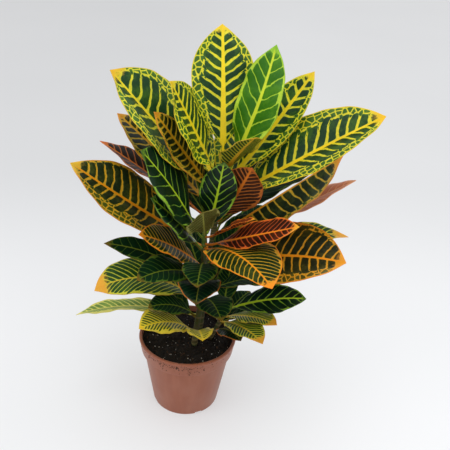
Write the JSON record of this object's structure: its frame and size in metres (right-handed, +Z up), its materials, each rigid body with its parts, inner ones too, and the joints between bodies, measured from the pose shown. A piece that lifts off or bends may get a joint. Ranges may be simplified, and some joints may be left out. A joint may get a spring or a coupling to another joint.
{
  "type": "potted croton",
  "caption": "Variegated croton house plant: broad veined leaves in green, gold and orange on upright woody stems, rooted in soil in a tapered plastic nursery pot with a rolled collar.",
  "frame": {"origin": "middle of the pot's underside, on the surface that it stands on", "axes": "+Z up the pot and the stems, -Y the front, +X the side that the tall stem leans to"},
  "size_m": [0.3641, 0.2799, 0.4983],
  "materials": {
    "pot_plastic": "satin",
    "potting_soil": "matte",
    "green_bark": "matte",
    "gold_leaf": "satin",
    "orange_leaf": "satin",
    "rust_leaf": "satin",
    "green_leaf": "satin",
    "pale_leaf": "satin",
    "dark_leaf": "satin"
  },
  "bodies": {
    "root": {"pot": "pot_plastic", "soil": "potting_soil", "tall_stem": "green_bark", "middle_stem": "green_bark", "short_stem": "green_bark", "tall_leaf_01": "dark_leaf", "tall_leaf_02": "pale_leaf", "tall_leaf_03": "dark_leaf", "tall_leaf_04": "gold_leaf", "tall_leaf_05": "dark_leaf", "tall_leaf_06": "dark_leaf", "tall_leaf_07": "dark_leaf", "tall_leaf_08": "dark_leaf", "tall_leaf_09": "orange_leaf", "tall_leaf_10": "orange_leaf", "tall_leaf_11": "dark_leaf", "tall_leaf_12": "dark_leaf", "tall_leaf_13": "orange_leaf", "tall_leaf_14": "gold_leaf", "tall_leaf_15": "orange_leaf", "tall_leaf_16": "orange_leaf", "tall_leaf_17": "rust_leaf", "tall_leaf_18": "orange_leaf", "tall_leaf_19": "rust_leaf", "tall_leaf_20": "gold_leaf", "tall_leaf_21": "orange_leaf", "tall_leaf_22": "gold_leaf", "tall_leaf_23": "gold_leaf", "tall_leaf_24": "orange_leaf", "tall_leaf_25": "gold_leaf", "tall_leaf_26": "gold_leaf", "tall_leaf_27": "gold_leaf", "tall_leaf_28": "gold_leaf", "tall_leaf_29": "green_leaf", "tall_leaf_30": "gold_leaf", "tall_leaf_31": "gold_leaf", "tall_leaf_32": "dark_leaf", "tall_leaf_33": "dark_leaf", "middle_leaf_01": "pale_leaf", "middle_leaf_02": "pale_leaf", "middle_leaf_03": "dark_leaf", "middle_leaf_04": "dark_leaf", "middle_leaf_05": "dark_leaf", "middle_leaf_06": "dark_leaf", "middle_leaf_07": "orange_leaf", "middle_leaf_08": "rust_leaf", "middle_leaf_09": "green_leaf", "middle_leaf_10": "rust_leaf", "middle_leaf_11": "green_leaf", "middle_leaf_12": "dark_leaf", "middle_leaf_13": "dark_leaf", "middle_leaf_14": "dark_leaf", "middle_leaf_15": "dark_leaf", "short_leaf_01": "dark_leaf", "short_leaf_02": "dark_leaf", "short_leaf_03": "dark_leaf", "short_leaf_04": "green_leaf", "short_leaf_05": "green_leaf", "short_leaf_06": "dark_leaf", "short_leaf_07": "green_leaf"}
  },
  "joints": []
}
